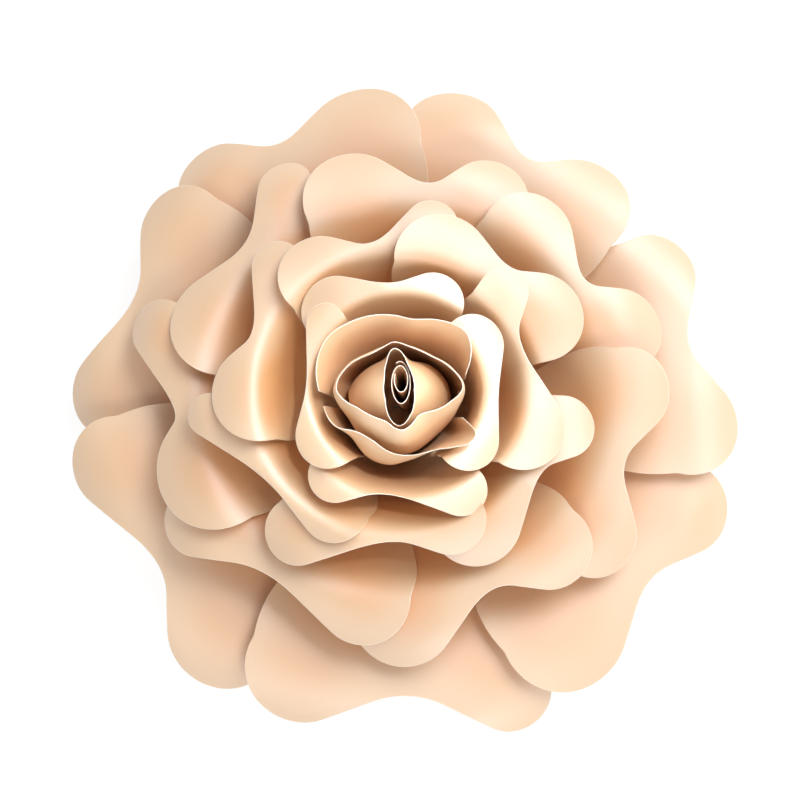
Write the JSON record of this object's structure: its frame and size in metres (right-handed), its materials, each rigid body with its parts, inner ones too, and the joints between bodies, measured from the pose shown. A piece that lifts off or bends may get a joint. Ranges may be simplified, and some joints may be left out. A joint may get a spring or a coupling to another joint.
{
  "type": "giant paper flower",
  "caption": "Large paper rose: rings of two-lobed card petals with rolled-back edges, glued round a rolled bud on a flat card base.",
  "frame": {"origin": "middle of the back face of the round card base", "axes": "+Z along the flower's own axis, from the base towards the bud; +Y is the top of the flower as it hangs; +X is to the right, seen from the front"},
  "size_m": [0.4882, 0.4733, 0.1479],
  "materials": {
    "petal_card": "smooth peach card with a faint pearl sheen and pale cut edges",
    "base_card": "plain matte card"
  },
  "bodies": {
    "root": {"base_disc": "base_card", "outer_petal_1": "petal_card", "outer_petal_2": "petal_card", "outer_petal_3": "petal_card", "outer_petal_4": "petal_card", "outer_petal_5": "petal_card", "outer_petal_6": "petal_card", "outer_petal_7": "petal_card", "second_petal_1": "petal_card", "second_petal_2": "petal_card", "second_petal_3": "petal_card", "second_petal_4": "petal_card", "second_petal_5": "petal_card", "second_petal_6": "petal_card", "second_petal_7": "petal_card", "third_petal_1": "petal_card", "third_petal_2": "petal_card", "third_petal_3": "petal_card", "third_petal_4": "petal_card", "third_petal_5": "petal_card", "third_petal_6": "petal_card", "third_petal_7": "petal_card", "inner_petal_1": "petal_card", "inner_petal_2": "petal_card", "inner_petal_3": "petal_card", "inner_petal_4": "petal_card", "bud_petal_upper": "petal_card", "bud_petal_lower": "petal_card", "bud_wrap_outer": "petal_card", "bud_wrap_inner": "petal_card", "centre_roll": "petal_card"}
  },
  "joints": []
}
